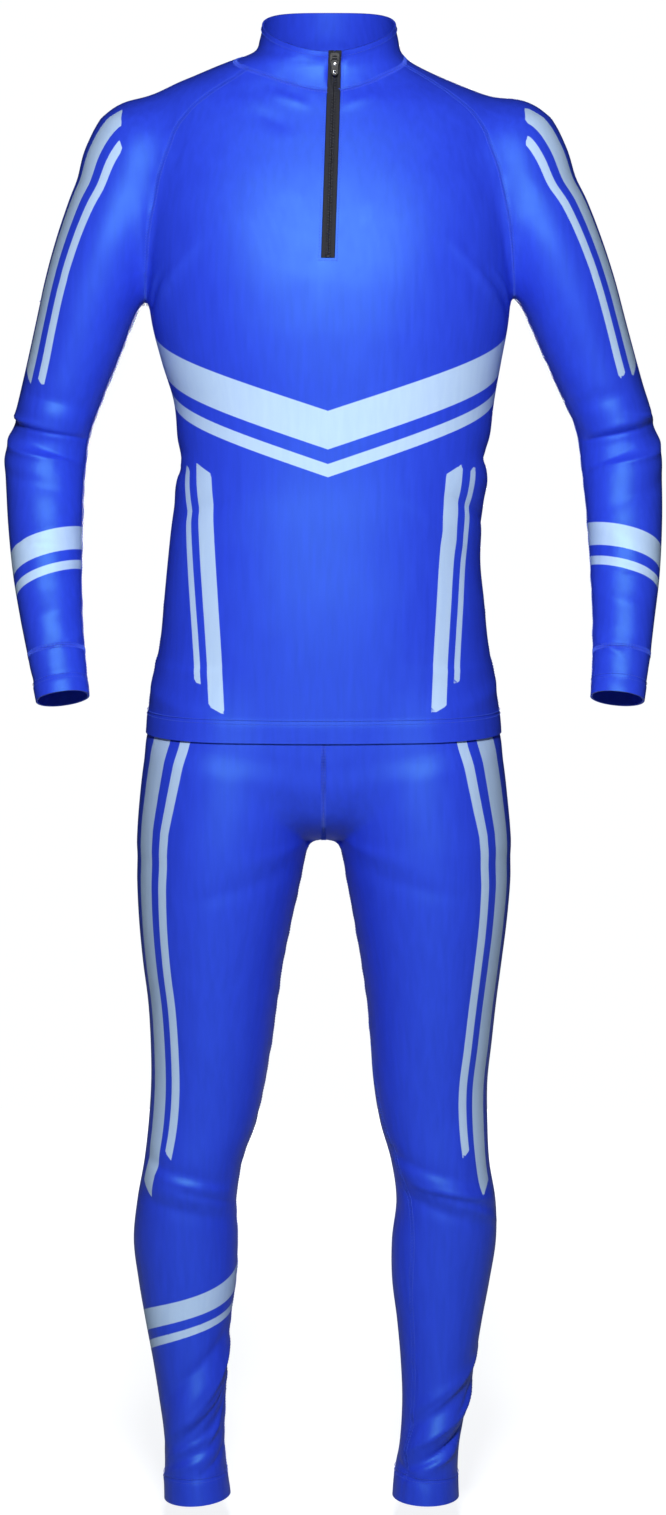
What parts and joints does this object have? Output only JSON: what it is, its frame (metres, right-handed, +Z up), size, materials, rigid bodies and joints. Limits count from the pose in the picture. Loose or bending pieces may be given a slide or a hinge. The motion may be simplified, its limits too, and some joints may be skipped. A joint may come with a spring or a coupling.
{
  "type": "cross-country ski race suit",
  "caption": "Close-fitting stretch race suit in its worn shape: a long-sleeved top with a stand-up collar and a short front zip, over long tights.",
  "frame": {"origin": "middle of the wearer's neck, level with the foot of the collar", "axes": "+Z up, +X to the wearer's left, the chest faces -Y"},
  "size_m": [0.6627, 0.2445, 1.5171],
  "materials": {
    "lycra": "smooth shiny stretch knit, royal blue with pale ice-blue bands",
    "elastic": "ribbed elastic band",
    "zip_tape": "matt woven tape with moulded teeth",
    "zip_metal": "satin black enamel"
  },
  "bodies": {
    "suit": {"top_front": "lycra", "top_back": "lycra", "sleeve_right": "lycra", "sleeve_left": "lycra", "cuff_right": "lycra", "cuff_left": "lycra", "collar": "lycra", "zip_tape": "zip_tape", "leg_right": "lycra", "leg_left": "lycra", "waistband": "elastic", "zip_slider": "zip_metal"},
    "zip_pull": {"zip_pull": "zip_metal"}
  },
  "joints": [
    {"name": "zip_pull_swing", "type": "hinge", "parent": "suit", "child": "zip_pull", "pos_m": [0.00572, -0.07453, 0.0115], "axis": [-1, 0, 0], "range_deg": [0, 150]}
  ]
}
